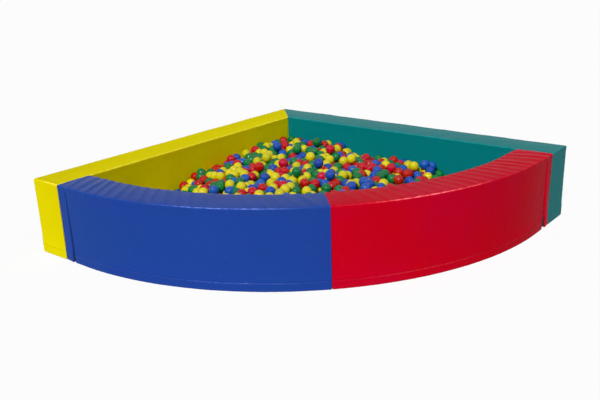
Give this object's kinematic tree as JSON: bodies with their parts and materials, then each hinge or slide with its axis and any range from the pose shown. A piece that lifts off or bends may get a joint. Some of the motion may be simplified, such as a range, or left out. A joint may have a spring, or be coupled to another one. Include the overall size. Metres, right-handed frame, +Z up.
{
  "type": "ball pit",
  "caption": "Corner ball pit: covered foam walls, straight at the back and curved in front, round a heap of coloured plastic balls.",
  "frame": {"origin": "on the floor, at the middle of the whole outline", "axes": "+Z up, +Y towards the back corner where the straight walls meet, +X along the width; the curved front faces -Y"},
  "size_m": [3.5256, 2.6773, 0.5],
  "materials": {
    "yellow_vinyl": "satin",
    "green_vinyl": "satin",
    "blue_vinyl": "satin",
    "red_vinyl": "satin",
    "mat_vinyl": "satin",
    "foam": "matte",
    "zip": "matte",
    "zip_metal": "satin",
    "touch_tape": "matte",
    "mixed_balls": "gloss",
    "yellow_ball": "gloss",
    "red_ball": "gloss",
    "green_ball": "gloss",
    "blue_ball": "gloss"
  },
  "bodies": {
    "floor_mat": {"left_mat_foam": "foam", "left_mat_cover": "mat_vinyl", "right_mat_foam": "foam", "right_mat_cover": "mat_vinyl"},
    "left_wall": {"left_wall_foam": "foam", "left_wall_hood": "yellow_vinyl", "left_wall_base_tray": "yellow_vinyl", "left_wall_zip_chain": "zip", "left_wall_loop_tape": "touch_tape", "left_corner_hook_tape": "touch_tape"},
    "right_wall": {"right_wall_foam": "foam", "right_wall_hood": "green_vinyl", "right_wall_base_tray": "green_vinyl", "right_wall_zip_chain": "zip", "right_wall_loop_tape": "touch_tape", "right_corner_loop_tape": "touch_tape"},
    "left_curve": {"left_curve_foam": "foam", "left_curve_hood": "blue_vinyl", "left_curve_base_tray": "blue_vinyl", "left_curve_zip_chain": "zip", "left_curve_hook_tape": "touch_tape", "left_end_pad_foam": "foam", "left_end_pad_cover": "blue_vinyl", "left_end_pad_hook_tape": "touch_tape"},
    "right_curve": {"right_curve_foam": "foam", "right_curve_hood": "red_vinyl", "right_curve_base_tray": "red_vinyl", "right_curve_zip_chain": "zip", "right_curve_loop_tape": "touch_tape", "right_end_pad_foam": "foam", "right_end_pad_cover": "red_vinyl", "right_end_pad_hook_tape": "touch_tape"},
    "left_wall_slider": {"left_wall_zip_slider": "zip_metal"},
    "right_wall_slider": {"right_wall_zip_slider": "zip_metal"},
    "left_curve_slider": {"left_curve_zip_slider": "zip_metal"},
    "right_curve_slider": {"right_curve_zip_slider": "zip_metal"},
    "heap": {"ball_heap": "mixed_balls"},
    "yellow_ball_a": {"yellow_ball_1": "yellow_ball"},
    "yellow_ball_b": {"yellow_ball_2": "yellow_ball"},
    "yellow_ball_c": {"yellow_ball_3": "yellow_ball"},
    "red_ball_a": {"red_ball_1": "red_ball"},
    "red_ball_b": {"red_ball_2": "red_ball"},
    "red_ball_c": {"red_ball_3": "red_ball"},
    "green_ball_a": {"green_ball_1": "green_ball"},
    "green_ball_b": {"green_ball_2": "green_ball"},
    "green_ball_c": {"green_ball_3": "green_ball"},
    "blue_ball_a": {"blue_ball_1": "blue_ball"},
    "blue_ball_b": {"blue_ball_2": "blue_ball"},
    "blue_ball_c": {"blue_ball_3": "blue_ball"}
  },
  "joints": [
    {"name": "left_wall_pull", "type": "slide", "parent": "floor_mat", "child": "left_wall", "axis": [-0.7071, 0.7071, 0], "range_m": [0, 0.3]},
    {"name": "right_wall_pull", "type": "slide", "parent": "floor_mat", "child": "right_wall", "axis": [0.7071, 0.7071, 0], "range_m": [0, 0.3]},
    {"name": "left_curve_pull", "type": "slide", "parent": "floor_mat", "child": "left_curve", "axis": [-0.3827, -0.9239, 0], "range_m": [0, 0.3]},
    {"name": "right_curve_pull", "type": "slide", "parent": "floor_mat", "child": "right_curve", "axis": [0.3827, -0.9239, 0], "range_m": [0, 0.3]},
    {"name": "left_wall_zip", "type": "slide", "parent": "left_wall", "child": "left_wall_slider", "axis": [-0.7071, -0.7071, 0], "range_m": [0, 2.1]},
    {"name": "right_wall_zip", "type": "slide", "parent": "right_wall", "child": "right_wall_slider", "axis": [0.7071, -0.7071, 0], "range_m": [0, 2.1]},
    {"name": "left_curve_zip", "type": "hinge", "parent": "left_curve", "child": "left_curve_slider", "pos_m": [0, 0.7068, 0.057], "axis": [0, 0, 1], "range_deg": [0, 25]},
    {"name": "right_curve_zip", "type": "hinge", "parent": "right_curve", "child": "right_curve_slider", "pos_m": [0, 0.7068, 0.057], "axis": [0, 0, -1], "range_deg": [0, 25]},
    {"name": "heap_lift", "type": "slide", "parent": "floor_mat", "child": "heap", "axis": [0, 0, 1], "range_m": [0, 0.25]},
    {"name": "yellow_ball_a_lift", "type": "slide", "parent": "heap", "child": "yellow_ball_a", "axis": [0, 0, 1], "range_m": [0, 0.25]},
    {"name": "yellow_ball_b_lift", "type": "slide", "parent": "heap", "child": "yellow_ball_b", "axis": [0, 0, 1], "range_m": [0, 0.25]},
    {"name": "yellow_ball_c_lift", "type": "slide", "parent": "heap", "child": "yellow_ball_c", "axis": [0, 0, 1], "range_m": [0, 0.25]},
    {"name": "red_ball_a_lift", "type": "slide", "parent": "heap", "child": "red_ball_a", "axis": [0, 0, 1], "range_m": [0, 0.25]},
    {"name": "red_ball_b_lift", "type": "slide", "parent": "heap", "child": "red_ball_b", "axis": [0, 0, 1], "range_m": [0, 0.25]},
    {"name": "red_ball_c_lift", "type": "slide", "parent": "heap", "child": "red_ball_c", "axis": [0, 0, 1], "range_m": [0, 0.25]},
    {"name": "green_ball_a_lift", "type": "slide", "parent": "heap", "child": "green_ball_a", "axis": [0, 0, 1], "range_m": [0, 0.25]},
    {"name": "green_ball_b_lift", "type": "slide", "parent": "heap", "child": "green_ball_b", "axis": [0, 0, 1], "range_m": [0, 0.25]},
    {"name": "green_ball_c_lift", "type": "slide", "parent": "heap", "child": "green_ball_c", "axis": [0, 0, 1], "range_m": [0, 0.25]},
    {"name": "blue_ball_a_lift", "type": "slide", "parent": "heap", "child": "blue_ball_a", "axis": [0, 0, 1], "range_m": [0, 0.25]},
    {"name": "blue_ball_b_lift", "type": "slide", "parent": "heap", "child": "blue_ball_b", "axis": [0, 0, 1], "range_m": [0, 0.25]},
    {"name": "blue_ball_c_lift", "type": "slide", "parent": "heap", "child": "blue_ball_c", "axis": [0, 0, 1], "range_m": [0, 0.25]}
  ]
}
